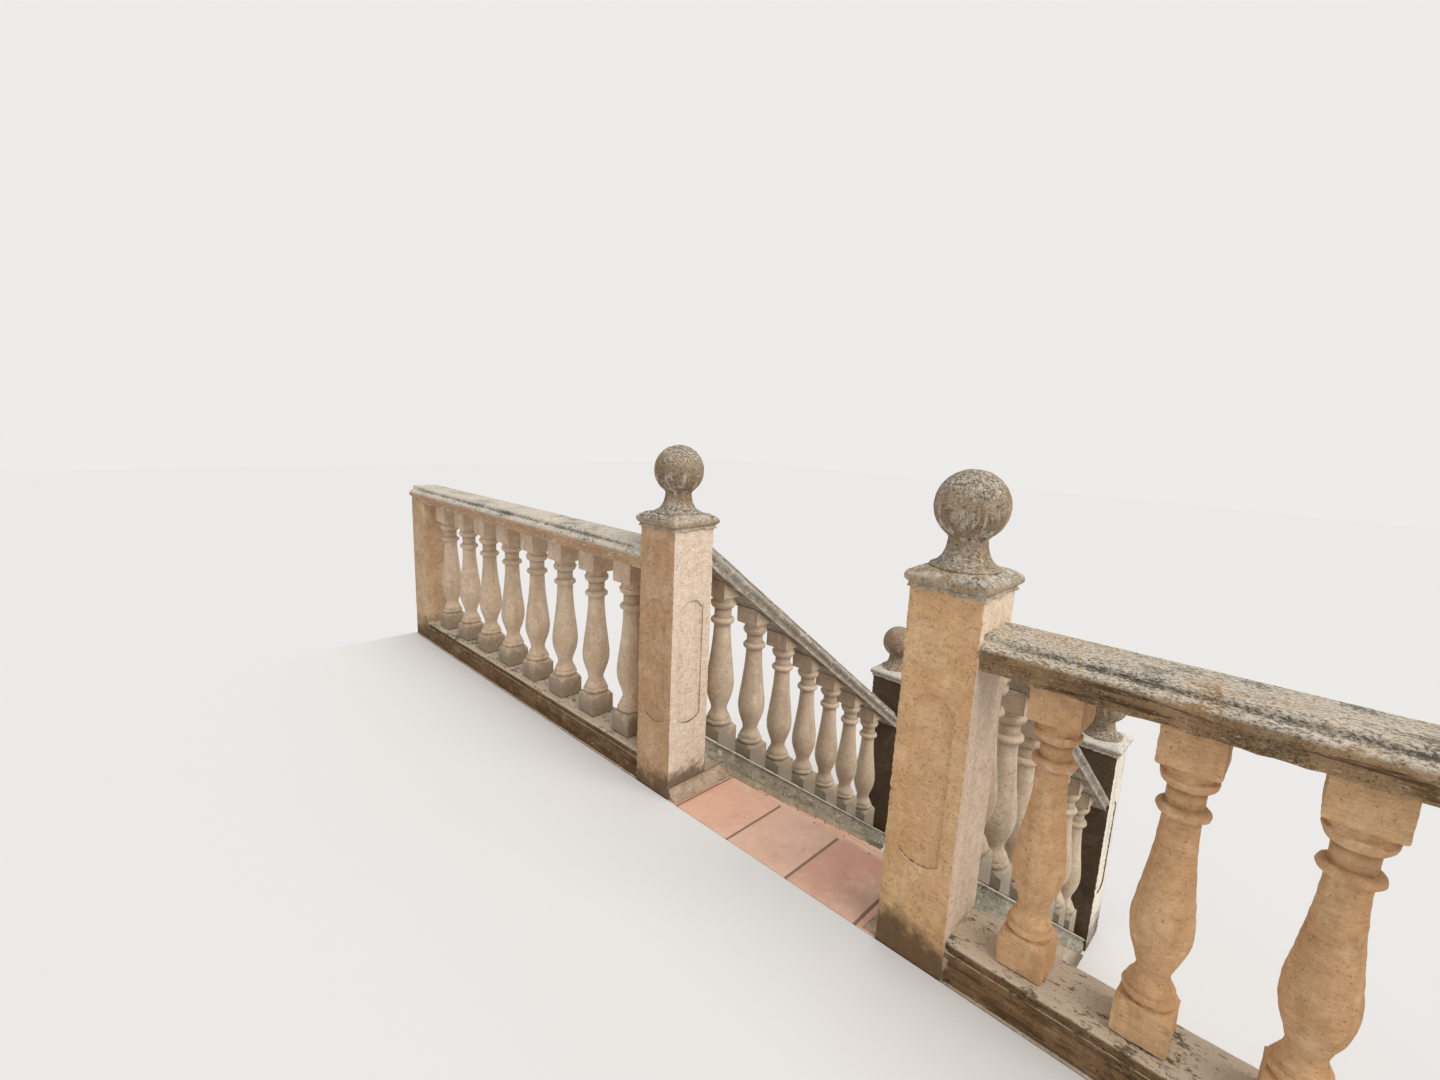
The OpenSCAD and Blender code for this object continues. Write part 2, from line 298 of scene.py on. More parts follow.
def stoneMaterial(name, **changes):
    look = {**plainStone, **changes}
    steps = maskSteps
    material, start = emptyMaterial(name)
    where = start.node("TexCoord", output=3)  # the object's own coordinates
    normalAt = start.node("NewGeometry", output=1)
    facing, height = normalAt.part(2), where.part(2)
    bend, hollow = marked(start, "bend"), marked(start, "hollow")

    broad = noise(where, look["mottleScale"], 5, 0.6)
    cloud = noise(where, look["mottleScale"] * look["cloudFiner"], 4, 0.65)
    middle = noise(where, look["midScale"], 4, 0.65)
    fine = noise(where, look["grainScale"], 2, 0.7)
    shade = coated(colour(look["body"]), broad.between(*steps["second"]) * look["mottle"], look["second"])
    shade = coated(shade, cloud.between(*steps["third"]) * look["mottle"], look["third"])

    # painted sunlight: a pale coat on the side turned to the sun, mottled by the crust pattern
    way = streakWays[look["along"]]
    turn = -rake if look["along"] == "rake" else 0.0
    along = stretched(where, way["crust"], turn)
    spread = noise(where, look["spreadScale"], 4, 0.65)
    crust = noise(along, look["crustScale"], 6, 0.7)
    if look["sunSide"]:
        film = (normalAt.part(0) + crust.swing(1.6) + spread.swing(0.8)).between(*steps["sun"])
        film = film * where.part(0).between(*(look["sunFace"] - inward for inward in look["sunReach"]))
        shade = coated(shade, film * look["sunSide"], look["sunColour"])

    # sand, pits and pale grains
    pit = noise(where, look["pitScale"], 3, 0.6).between(look["pitLevel"] + 0.07, look["pitLevel"])
    dash = noise(stretched(where, look["brushScale"]), 1.0, 3, 0.6)
    fleck = noise(along, look["fleckScale"], 5, 0.75)
    value = (middle.swing(look["midSwing"]) + fine.swing(look["grainSwing"]) + dash.swing(look["brush"])
             + fleck.swing(look["speckSwing"]) - pit * look["pitTone"] + 1.0)
    shade = toned(shade, value)
    grains = where.node("TexVoronoi", None, {"Vector": where, "Scale": look["grainScale"] * 0.8}, 1)
    chance = start.node("SeparateColor", None, {0: grains}, 0)
    shade = coated(shade, chance.between(*steps["shell"]) * look["shell"], look["pale"])

    # streaks of dirt, and pale runs of rain
    up = facing.between(look["upFrom"], look["upFrom"] + 0.6)
    level, soft = look["crustLevel"], look["crustSoft"]
    if level:
        up = up.maths("MAXIMUM", up, height.between(level - soft, level + soft))
        up = up * height.between(*(level - below for below in look["crustReach"]))
    side = 1 - up
    hollow = hollow * (up * 0.75 + 0.25)
    rain = noise(stretched(where, way["runs"], turn), 1.0, 5, 0.65)
    shade = coated(shade, rain.between(*steps["streak"]) * side * look["streak"], look["stain"])
    if look["wash"]:
        fall = noise(stretched(where, look["washScale"]), 1.0, 3, 0.6)
        under = facing.between(*steps["under"])
        shade = coated(shade, fall.between(*steps["wash"]) * under * look["wash"], look["pale"])

    # bleached crust, which on the ball also paints the sky's highlight on its top, and dark growth
    edge = 0.66 - look["paleTop"] * 0.30
    shade = coated(shade, (crust * 0.6 + spread * 0.4).between(edge, edge + 0.12) * up * 0.85, look["pale"])
    if look["paleSide"]:
        edge = 0.66 - look["paleSide"] * 0.25
        shade = coated(shade, crust.between(edge, edge + 0.08) * side * 0.7, look["pale"])
    # the dark growth also gathers in hollows, where it paints the shade in the grooves
    growth = fleck * 0.62 + spread * 0.38 + hollow * look["hollowGrow"]
    topEdge, sideEdge = 0.66 - look["lichenTop"] * 0.20, 0.68 - look["lichenSide"] * 0.20
    dark = growth.between(topEdge, topEdge + 0.07) * up + growth.between(sideEdge, sideEdge + 0.07) * side
    shade = coated(shade, dark * 0.80, look["lichen"])

    # dark foot: darker towards the bottom of a piece; it is moss and dirt on the upper newels and the level
    # balusters, and painted shade on the raked balusters
    if look["stainFoot"]:
        wet = height - look["footLevel"] + middle.swing(0.10) + broad.swing(look["footRagged"])
        if look["footFall"]:
            wet = wet + where.part(1) * look["footFall"]
        shade = coated(shade, wet.between(look["stainFoot"], look["stainFoot"] * 0.25) * 0.85,
                       look["footColour"])

    # worn arrises, and painted shade with dirt in hollows and creases
    worn = (bend + middle.swing(0.7) + fine.swing(0.3)).between(*steps["edge"])
    shade = coated(shade, worn * look["edgeWear"], look["edge"])
    shade = coated(shade, hollow * look["hollowDark"] * (0.5 + middle), look["crevice"])
    shade = coated(shade, bend.between(*steps["crevice"]) * look["creviceDark"], look["crevice"])

    relief = fine * 0.30 - pit * 0.8 + middle * 0.5 + fleck * 0.25 + dash * look["brush"] * 1.2
    surfaced(start, look, shade, look["roughness"], relief)
    return material


tileLook = {
    "tones": ((0.15, (220, 164, 140)), (0.40, (233, 189, 167)), (0.65, (228, 183, 157)),
              (0.95, (238, 204, 184))),
    "dust": (234, 206, 190),
    "burnt": (186, 128, 102),
    "joint": (148, 126, 108),
    "cloudScale": 5.0,
    "burntScale": 11.0,
    "midScale": 30.0,
    "grainScale": 320.0,
    "pitDepth": 0.0012,
    "roughness": 0.62,
    "bump": 0.6,
    "shine": 0.4,
}


def tileMaterial(name):
    look = tileLook
    material, start = emptyMaterial(name)
    where = start.node("TexCoord", output=3)
    tone, bend = marked(start, "tone"), marked(start, "bend")
    cloud = noise(where, look["cloudScale"], 4, 0.6)
    middle = noise(where, look["midScale"], 5, 0.65)
    fine = noise(where, look["grainScale"], 2, 0.7)
    burnt = noise(where, look["burntScale"], 5, 0.7)
    shade = start.node("ValToRGB", {"stops": [(p, colour(c)) for p, c in look["tones"]]},
                       {0: tone + cloud.swing(0.5)})
    shade = coated(shade, (cloud * 0.5 + middle * 0.5).between(0.50, 0.66) * 0.55, look["dust"])
    shade = coated(shade, burnt.between(0.56, 0.70) * 0.35, look["burnt"])
    shade = toned(shade, middle.swing(0.25) + fine.swing(0.25) + 1.0)
    shade = coated(shade, (bend + middle.swing(0.5)).between(0.10, 0.35) * 0.5, look["dust"])
    grout = toned(colour(look["joint"]), middle.swing(0.6) + fine.swing(0.6) + 1.0)
    onTile = tone.between(0.04, 0.12)
    roughness = look["roughness"] + middle.swing(0.25) + (1 - onTile) * 0.3
    relief = fine * 0.25 + middle * 0.5 + cloud * 0.6
    surfaced(start, look, mixed(onTile, grout, shade), roughness, relief)
    return material


def arcPoints(x, y, radius, start, end, steps):
    turn = [math.radians(start + (end - start) * i / steps) for i in range(steps + 1)]
    return [(x + radius * math.cos(a), y + radius * math.sin(a)) for a in turn]


def curvePoints(p, q, r, s, steps):
    out = []
    for i in range(1, steps + 1):
        t = i / steps
        u = 1 - t
        out.append(tuple(u**3 * a + 3 * u * u * t * b + 3 * u * t * t * c + t**3 * d
                         for a, b, c, d in zip(p, q, r, s)))
    return out


def closeSpaced(profile, step, slack=0.2):
    # extra points where a profile's straight or curved runs are long
    out = [profile[0]]
    for before, after in zip(profile, profile[1:]):
        parts = max(1, math.ceil(math.dist(before, after) / step - slack))
        out += [tuple(a + (b - a) * i / parts for a, b in zip(before, after)) for i in range(1, parts + 1)]
    return out


def climb(profile, widen, centre):
    # the selected face is drawn up along (half width, height) points in millimetres
    x, y, z = centre
    for (before, low), (after, high) in zip(profile, profile[1:]):
        bpy.ops.mesh.extrude_region_move(TRANSFORM_OT_translate={"value": (0, 0, (high - low) / 1000)})
        k = after / before
        bpy.ops.transform.resize(value=(k if widen[0] else 1, k if widen[1] else 1, 1),
                                 center_override=(x, y, z + high / 1000))


def squareStack(name, profile, centre, length=None, along="x"):
    # a moulded block, or a moulded bar of that length
    wide = 2 * profile[0][0] / 1000
    x, y, z = centre
    bpy.ops.mesh.primitive_plane_add(size=1, location=(x, y, z + profile[0][1] / 1000))
    piece = bpy.context.object
    piece.scale = (wide, wide, 1)
    if length:
        piece.scale = (length, wide, 1) if along == "x" else (wide, length, 1)
    settle(piece, name)
    editing(piece, "SELECT")
    climb(profile, (not length or along == "y", not length or along == "x"), centre)
    tidyShell()
    return piece


def roundStack(name, profile, centre, sides):
    x, y, z = centre
    bpy.ops.mesh.primitive_circle_add(vertices=sides, radius=profile[0][0] / 1000, fill_type="NGON",
                                      location=(x, y, z + profile[0][1] / 1000))
    piece = settle(bpy.context.object, name)
    editing(piece, "SELECT")
    climb(profile, (True, True), centre)
    tidyShell()
    return piece


def tidyShell(near=0.00005):
    bpy.ops.mesh.select_all(action="SELECT")
    bpy.ops.mesh.remove_doubles(threshold=near)
    bpy.ops.mesh.normals_make_consistent(inside=False)
    objectMode()


def cutAlong(piece, axis, cuts, atLeast=1e-6):
    # cuts every edge that runs along one axis and is longer than that
    editing(piece)
    bpy.ops.mesh.select_mode(type="EDGE")
    objectMode()
    points = piece.data.vertices
    for edge in piece.data.edges:
        run = points[edge.vertices[1]].co - points[edge.vertices[0]].co
        edge.select = run.length > atLeast and abs(run[axis]) > 0.995 * run.length
    bpy.ops.object.mode_set(mode="EDIT")
    bpy.ops.mesh.subdivide(number_cuts=cuts)
    bpy.ops.mesh.select_mode(type="VERT")
    objectMode()


def gridded(piece, *cuts):
    # that many cuts in x, in y and, where given, in z
    for axis, count in enumerate(cuts):
        cutAlong(piece, axis, count)


def block(name, low, high, spacing, arris):
    # a squared block with a fine grid on its faces
    low, high = Vector(low), Vector(high)
    bpy.ops.mesh.primitive_cube_add(size=1, location=(low + high) / 2, scale=high - low)
    piece = settle(bpy.context.object, name)
    gridded(piece, *(max(1, round(length / spacing) - 1) for length in high - low))
    if arris:
        rounded(piece, arris)
    return piece


def outlinePlate(name, points, depth):
    # an upright plate with that outline, (across, up), from y 0 to y depth
    bpy.ops.mesh.primitive_circle_add(vertices=len(points), fill_type="NGON")
    piece = settle(bpy.context.object, name)
    for vertex, (across, up) in zip(piece.data.vertices, points):
        vertex.co = (across, 0, up)
    editing(piece, "SELECT")
    bpy.ops.mesh.extrude_region_move(TRANSFORM_OT_translate={"value": (0, depth, 0)})
    tidyShell()
    return piece


def sliced(piece, axis, spacing):
    # plane cuts right through a piece, evenly spaced along one axis
    along = [vertex.co[axis] for vertex in piece.data.vertices]
    low, high = min(along), max(along)
    parts = round((high - low) / spacing)
    normal = [0, 0, 0]
    normal[axis] = 1
    editing(piece)
    for k in range(1, parts):
        place = [0, 0, 0]
        place[axis] = low + (high - low) * k / parts
        bpy.ops.mesh.select_all(action="SELECT")
        bpy.ops.mesh.bisect(plane_co=place, plane_no=normal)
    objectMode()


def plainEnds(bar, margin):
    # one flat face at each end of a level bar, with a narrow margin
    editing(bar)
    bpy.ops.mesh.select_mode(type="FACE")
    objectMode()
    for face in bar.data.polygons:
        face.select = abs(face.normal.x) > 0.99
    bpy.ops.object.mode_set(mode="EDIT")
    bpy.ops.mesh.dissolve_faces()
    bpy.ops.mesh.inset(thickness=margin)
    bpy.ops.mesh.select_mode(type="VERT")
    objectMode()


def turned(piece, turn, move):
    # turns a piece by those degrees round the origin, then moves it
    piece.rotation_euler = [math.radians(a) for a in turn]
    piece.location = move
    return settle(piece, piece.name)


def cutOff(piece, place, normal):
    editing(piece, "SELECT")
    bpy.ops.mesh.bisect(plane_co=place, plane_no=normal, use_fill=True, clear_outer=True)
    tidyShell()


def modifier(piece, kind, **settings):
    pick(piece)
    added = piece.modifiers.new(kind.title(), kind)
    for name, value in settings.items():
        setattr(added, name, value)
    bpy.ops.object.modifier_apply(modifier=added.name)


def rounded(piece, width, angle=35):
    modifier(piece, "BEVEL", width=width, segments=2, limit_method="ANGLE",
             angle_limit=math.radians(angle), harden_normals=False)


def joined(pieces, name):
    clearSelection()
    for piece in pieces:
        piece.select_set(True)
    bpy.context.view_layer.objects.active = pieces[0]
    bpy.ops.object.join()
    pieces[0].name = name
    pieces[0].data.name = name
    return pieces[0]


def copied(piece, move):
    pick(piece)
    bpy.ops.object.duplicate()
    copy = bpy.context.object
    copy.location = move
    return settle(copy, piece.name)


def bendOf(piece, rounds):
    # how sharply the surface turns at each vertex, outwards above 0
    mesh = piece.data
    count = len(mesh.vertices)
    place = np.empty(count * 3)
    mesh.vertices.foreach_get("co", place)
    place = place.reshape(-1, 3)
    normal = np.empty(count * 3, np.float32)
    mesh.vertices.foreach_get("normal", normal)
    normal = normal.reshape(-1, 3)
    ends = np.empty(len(mesh.edges) * 2, int)
    mesh.edges.foreach_get("vertices", ends)
    a, b = ends.reshape(-1, 2).T
    length = np.linalg.norm(place[a] - place[b], axis=1)
    degree = np.bincount(a, minlength=count) + np.bincount(b, minlength=count)
    degree = np.maximum(degree, 1)

    def around(values):
        return (np.bincount(a, values[b], count) + np.bincount(b, values[a], count)) / degree
    middle = np.stack([around(place[:, k]) for k in range(3)], 1)
    spacing = (np.bincount(a, length, count) + np.bincount(b, length, count)) / degree
    bend = ((place - middle) * normal).sum(1) / np.maximum(spacing, 1e-6)
    for _ in range(rounds):
        bend = 0.5 * bend + 0.5 * around(bend)
    return bend


textures = {}


def roughTexture(kind, size, contrast, bright):
    key = (kind, size, contrast, bright)
    if key not in textures:
        texture = bpy.data.textures.new("rough", kind)
        texture.noise_scale = size
        texture.contrast = contrast
        texture.intensity = bright
        if kind == "CLOUDS":
            texture.noise_depth = 3
        textures[key] = texture
    return textures[key]


def sunk(piece, depth, kind, size, contrast=1.0, bright=1.0, group=""):
    # a rough texture pressed into a surface, or into one group of its vertices
    if depth:
        modifier(piece, "DISPLACE", texture=roughTexture(kind, size, contrast, bright), strength=depth,
                 mid_level=1.0, vertex_group=group)


plainWear = {
    "wave": 0.0, "waveSize": 0.22,  # how deep, and how long
    "chips": 0.0, "chipSize": 0.035, "chipContrast": 3.2, "chipBright": 1.15,
    "grain": 0.0, "grainSize": 0.016, "grainContrast": 1.6,
    "pits": 0.0, "pitSize": 0.022, "pitContrast": 1.8,
    "arrisFrom": 0.12, "arrisRise": 0.2,  # bend at which chips start, and the rise to a full one
}


def weathered(piece, shape, **changes):
    # every movement is inwards, so the piece stays inside the drawn solid
    wear = {**plainWear, **shape, **changes}
    arris = piece.vertex_groups.new(name="arris")
    bend = bendOf(piece, 0)
    for index in np.nonzero(bend > wear["arrisFrom"])[0]:
        weight = float(min(1, (bend[index] - wear["arrisFrom"]) / wear["arrisRise"]))
        arris.add([int(index)], weight, "REPLACE")
    sunk(piece, wear["wave"], "CLOUDS", wear["waveSize"])
    sunk(piece, wear["chips"], "CLOUDS", wear["chipSize"], wear["chipContrast"], wear["chipBright"], "arris")
    sunk(piece, wear["grain"], "CLOUDS", wear["grainSize"], wear["grainContrast"])
    sunk(piece, wear["pits"], "VORONOI", wear["pitSize"], wear["pitContrast"])
    finished(piece)


def finished(piece, smooth=48):
    # marks that the materials read, and smooth faces up to that angle
    for name, values in (("bend", bendOf(piece, 1)), ("hollow", np.clip(-6 * bendOf(piece, 10), 0, 1))):
        mark = piece.data.attributes.get(name) or piece.data.attributes.new(name, "FLOAT", "POINT")
        mark.data.foreach_set("value", values.astype(np.float32))
    pick(piece)
    bpy.ops.object.shade_smooth_by_angle(angle=math.radians(smooth))


def placed(piece, material, slotName, *replaced):
    piece.data.materials.clear()
    piece.data.materials.append(material)
    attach(piece, "root")
    if replaced:
        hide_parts(*replaced)
    piece.data.calc_loop_triangles()
    print("  ", piece.name, len(piece.data.loop_triangles), "triangles")


def dressed(piece, shape, shade, slotName, *replaced, **changes):
    weathered(piece, shape, **changes)
    placed(piece, stone[shade], slotName, *replaced)


print("camera, stage and lights")
bpy.ops.object.camera_add(location=cameraSetup["place"],
                          rotation=[math.radians(a) for a in cameraSetup["turn"]])
camera = bpy.context.object
camera.name = "photoCamera"
camera.data.lens = cameraSetup["lens"]
camera.data.sensor_width = cameraSetup["sensor"]
camera.data.sensor_fit = "HORIZONTAL"
camera.data.clip_start = cameraSetup["nearest"]
bpy.context.scene.camera = camera

floorMaterial = bpy.data.materials.new("paleFloor")
floorMaterial.use_nodes = True
floorShader = floorMaterial.node_tree.nodes["Principled BSDF"]
floorShader.inputs["Base Color"].default_value = colour(stageSetup["floorColour"])
floorShader.inputs["Roughness"].default_value = stageSetup["floorRoughness"]


def stagePiece(name, size, centre):
    bpy.ops.mesh.primitive_cube_add(size=1, location=centre, scale=size)
    piece = settle(bpy.context.object, name)
    piece.data.materials.append(floorMaterial)


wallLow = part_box("terrace_wall_left")[0]
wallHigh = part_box("terrace_wall_right")[1]
floorSize, floorThick = stageSetup["floorSize"], stageSetup["floorThick"]
stagePiece("floor", (floorSize, floorSize, floorThick), (0, 0, stageSetup["floorTop"] - floorThick / 2))
backEdge = wallLow.y - stageSetup["terraceGap"]
terraceTop = wallHigh.z - stageSetup["terraceDrop"]
stagePiece("terraceGround", (wallHigh.x - wallLow.x, stageSetup["terraceDepth"], terraceTop),
           ((wallHigh.x + wallLow.x) / 2, backEdge - stageSetup["terraceDepth"] / 2, terraceTop / 2))

bpy.ops.object.light_add(type="SUN", location=lightSetup["sunPlace"])
sun = bpy.context.object
sun.name = "softSun"
sun.data.energy = lightSetup["sunPower"]
sun.data.angle = math.radians(lightSetup["sunAngle"])
sun.data.color = colour(lightSetup["sunColour"])[:3]
sun.rotation_euler = Vector(lightSetup["sunFrom"]).to_track_quat("Z", "Y").to_euler()

world = bpy.data.worlds.new("softSky")
bpy.context.scene.world = world
world.use_nodes = True
world.node_tree.nodes.clear()
sky = Wire(world.node_tree)
seen = sky.node("LightPath")  # is camera ray
skyLight = sky.node("Background", None, {"Color": colour(lightSetup["skyColour"]),
                                         "Strength": lightSetup["skyStrength"]})
skySeen = sky.node("Background", None, {"Color": colour(lightSetup["backColour"]),
                                        "Strength": lightSetup["backStrength"]})
sky.node("OutputWorld", None, {"Surface": sky.node("MixShader", None, {0: seen, 1: skyLight, 2: skySeen})})
bpy.context.scene.view_settings.view_transform = "Standard"

stair = {"rise": 0.1817, "going": 0.2445}
slope = stair["rise"] / stair["going"]
rake = math.atan(slope)
nearGround = 0.1  # what starts below this height stands on the lower ground

print("materials")
terraceLevel = wallHigh.z
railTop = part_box("handrail_left")[1].z
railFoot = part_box("base_rail_left")[1].z
stringLow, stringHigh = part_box("raked_base_rail_left")
stringFoot = stringHigh.z + slope * stringLow.y  # where the string's top passes y = 0
railCrust = railTop - 0.022  # from here up a handrail is weathered as its top is
# the balusters' dirt, with painted shade in their hollows and creases
balusterDirt = {
    "lichenTop": -0.6, "lichenSide": -0.6, "paleTop": 0.3, "streak": 0.22, "stain": (150, 124, 98),
    "hollowDark": 0.45, "edgeWear": 0.35, "creviceDark": 0.40, "crevice": (122, 98, 76), "brush": 0.35,
    "grainSwing": 0.45, "midSwing": 0.50, "pitTone": 0.25, "shell": 0.0, "footRagged": 0.10,
}
# the lower newels: a dark body colour that paints the shade on their faces, painted sunlight on the side
# turned to the sun, and a dark foot
dampStone = {
    "body": (98, 83, 68), "second": (72, 60, 49), "third": (116, 101, 86), "stainFoot": 0.2,
    "lichenSide": 0.3, "streak": 0.3, "sunSide": 1.0, "sunColour": (236, 229, 218), "creviceDark": 0.35,
    "edgeWear": 0.4,
}
# the caps' wear, with a little painted shade in their hollows and creases
capDirt = {
    "edgeWear": 0.4, "fleckScale": 110, "crustScale": 55, "creviceDark": 0.2, "hollowDark": 0.1,
    "grainSwing": 0.8, "speckSwing": 1.2, "pitDepth": 0.0030,
}
railDirt = {"along": "x", "edgeWear": 0.3, "brush": 0.0, "crustLevel": railCrust}
stone = {
    # the side of each upper newel turned to the sun gets painted sunlight
    "newelLeft": stoneMaterial(
        "newelStoneTan", body=(196, 160, 124), second=(178, 140, 104), third=(208, 180, 150),
        stainFoot=0.13, footLevel=terraceLevel, footColour=(92, 76, 58), pitTone=0.35, lichenSide=0.0,
        sunSide=0.9, sunFace=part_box("newel_upper_left")[1].x, edgeWear=0.35),
    "newelRight": stoneMaterial(
        "newelStoneOchre", body=(218, 178, 134), second=(202, 158, 112), third=(228, 196, 156),
        stainFoot=0.16, footLevel=terraceLevel, pitTone=0.22, lichenSide=0.0, sunSide=0.8,
        sunFace=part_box("newel_upper_right")[1].x, edgeWear=0.35, brush=0.4),
    "newelLowLeft": stoneMaterial(
        "newelStoneGreyLeft", sunFace=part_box("newel_lower_left")[1].x, **dampStone),
    "newelLowRight": stoneMaterial(
        "newelStoneGreyRight", sunFace=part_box("newel_lower_right")[1].x, **dampStone),
    "cap": stoneMaterial(
        "capStone", body=(176, 156, 130), second=(144, 122, 96), third=(202, 188, 166), upFrom=0.0,
        lichenSide=0.5, lichenTop=0.80, paleTop=0.8, paleSide=0.4, **capDirt),
    "capLow": stoneMaterial(
        "capStoneLow", body=(190, 182, 168), second=(158, 150, 138), third=(214, 208, 198), upFrom=-0.1,
        lichenSide=0.45, lichenTop=0.62, paleTop=1.05, paleSide=0.6, pale=(230, 227, 219), **capDirt),
    # on the ball the bleached top also paints the highlight from the sky
    "ball": stoneMaterial(
        "ballStone", body=(154, 134, 110), second=(124, 103, 81), third=(180, 164, 143),
        lichenSide=0.64, lichenTop=0.72, paleTop=0.66, paleSide=0.30, wash=0.5, fleckScale=120,
        crustScale=115, grainSwing=0.8, upFrom=0.0, speckSwing=1.9, pitDepth=0.0028),
    # the rails' hollows and creases carry strong painted shade, darkest in their grooves, through the dark
    # coat and the growth there
    "railLeft": stoneMaterial(
        "handrailStoneLeft", body=(194, 161, 128), second=(170, 136, 104), third=(208, 180, 150),
        streak=0.35, lichen=(84, 78, 66), lichenTop=0.76, lichenSide=0.45, paleTop=1.1, paleSide=0.35,
        stain=(150, 120, 90), hollowDark=1.4, hollowGrow=0.5, crevice=(84, 70, 54), fleckScale=200,
        crustScale=60, upFrom=-0.20, speckSwing=1.0, pale=(222, 218, 206), pitDepth=0.0026,
        edge=(222, 200, 172), **railDirt),
    "railRight": stoneMaterial(
        "handrailStoneRight", body=(161, 131, 97), second=(127, 99, 68), third=(184, 156, 122),
        streak=0.95, lichen=(66, 57, 44), lichenTop=0.84, lichenSide=0.86, paleTop=0.90, paleSide=0.25,
        stain=(84, 62, 38), hollowDark=1.6, hollowGrow=0.4, crevice=(58, 50, 40), fleckScale=260,
        crustScale=210, upFrom=0.0, speckSwing=1.9, pale=(226, 220, 206), pitDepth=0.0032,
        edge=(206, 180, 142), **railDirt),
    "rakedRail": stoneMaterial(
        "rakedRailStone", body=(168, 160, 148), second=(138, 130, 120), third=(196, 190, 180),
        along="rake", streak=0.45, lichenTop=0.72, lichenSide=0.62, paleTop=0.85, paleSide=0.5,
        stain=(106, 100, 92), fleckScale=140, speckSwing=1.3, pitDepth=0.0028, brush=0.0, edgeWear=0.7,
        edge=(226, 220, 208)),
    "base": stoneMaterial(
        "baseRailStone", body=(132, 101, 69), second=(90, 66, 42), third=(164, 134, 100), along="x",
        streak=0.75, lichen=(58, 50, 38), lichenTop=0.74, lichenSide=0.70, paleTop=1.25, paleSide=0.1,
        pale=(216, 201, 180), stain=(72, 52, 32), hollowDark=0.7, fleckScale=90, speckSwing=1.0,
        brush=0.0),
    "string": stoneMaterial(
        "stringStone", body=(168, 163, 147), second=(130, 126, 110), third=(194, 190, 176),
        along="rake", streak=0.55, lichen=(70, 66, 54), lichenTop=0.66, lichenSide=0.66, paleTop=1.1,
        paleSide=0.4, pale=(214, 210, 198), stain=(88, 82, 68), hollowDark=0.6, fleckScale=90,
        speckSwing=1.0, brush=0.0),
    "mortar": stoneMaterial(
        "lumpyMortar", body=(190, 168, 146), second=(160, 140, 120), third=(208, 190, 170),
        mottleScale=14.0, lichenTop=0.30, lichenSide=0.2, paleTop=0.35, speckSwing=0.8, brush=0.0,
        fleckScale=90, streak=0.0, creviceDark=0.3),
    "cream": stoneMaterial(
        "balusterCream", body=(212, 189, 164), second=(194, 168, 141), third=(224, 207, 186),
        stainFoot=0.13, footLevel=railFoot, footColour=(142, 128, 111), **balusterDirt),
    # the dark feet of the raked rows paint the shade on them
    "grey": stoneMaterial(
        "balusterGrey", body=(208, 192, 171), second=(188, 171, 149), third=(221, 209, 191),
        stainFoot=0.15, footLevel=stringFoot, footFall=slope, footColour=(150, 142, 129),
        **balusterDirt),
    # the ochre balusters get painted shade in their hollows and creases
    "ochre": stoneMaterial(
        "balusterOchre", body=(212, 172, 130), second=(196, 152, 110), third=(224, 192, 154),
        lichenTop=-0.6, lichenSide=-0.6, paleTop=0.25, pitLevel=0.28, pitTone=0.25, streak=0.24,
        stain=(158, 118, 78), hollowDark=0.50, edgeWear=0.30, creviceDark=0.55, crevice=(118, 86, 56),
        speckSwing=0.55, midSwing=0.7, shell=0.0, pitDepth=0.0028),
    "pier": stoneMaterial(
        "pierStone", body=(204, 172, 138), second=(178, 144, 110), third=(218, 196, 168),
        stainFoot=0.14, footLevel=terraceLevel),
    "wall": stoneMaterial(
        "limeRender", body=(188, 174, 154), second=(164, 150, 130), third=(204, 194, 176),
        mottleScale=2.6, stainFoot=0.22, footColour=(104, 92, 74), streak=0.45, stain=(126, 110, 90),
        grainSwing=0.4, speckSwing=0.3, brush=0.0, edgeWear=0.2),
    "tile": tileMaterial("terracottaTile"),
}

balusterShape = {  # the profile's sizes in millimetres, the rest in metres
    "footHalf": 58, "footHeight": 98, "footSlope": 10, "footIn": 5, "footSeat": 60, "seatFall": 0.7,
    "headHalf": 60, "headHeight": 99, "headRound": 10, "stemHeight": 570,
    "arris": 0.0025, "sides": 48, "cuts": 11, "upCuts": 9,
    "railsApart": 0.705,  # upright, on the raked runs
    "spare": 100, "spareCuts": 10,  # more height on those blocks, cut off at the slope
    "endGap": 0.173, "levelCount": 8, "rakedCount": 7,
    "wave": 0.002, "grain": 0.0012, "chips": 0.006, "ochrePits": 0.0015,
}


def stemProfile(foot):
    points = [(50, -4), (52, 0)]
    points += arcPoints(47, 13, 11, -80, 80, 7) + [(51, 26)]
    points += curvePoints((51, 26), (51, 42), (36, 50), (36, 68), 6)
    points += curvePoints((36, 68), (36, 94), (62.5, 126), (62.5, 182), 9)
    points += curvePoints((62.5, 182), (62.5, 239), (40, 326), (38, 450), 22)
    points += arcPoints(39, 468, 14, -80, 80, 8)
    points += [(38, 484), (38, 503), (38, 522), (42, 522)]
    points += curvePoints((42, 522), (50, 525), (55, 536), (56, 546), 5)
    points += [(56, 552), (49, 554), (49, 574)]
    return [(half, foot + z) for half, z in points]


def trimCorners(piece, seat, top, fall):
    # the lathe's cut on the corners of a foot block
    for vertex in piece.data.vertices:
        out = math.hypot(vertex.co.x, vertex.co.y)
        vertex.co.z = min(vertex.co.z, top - max(0.0, out - seat) * fall)


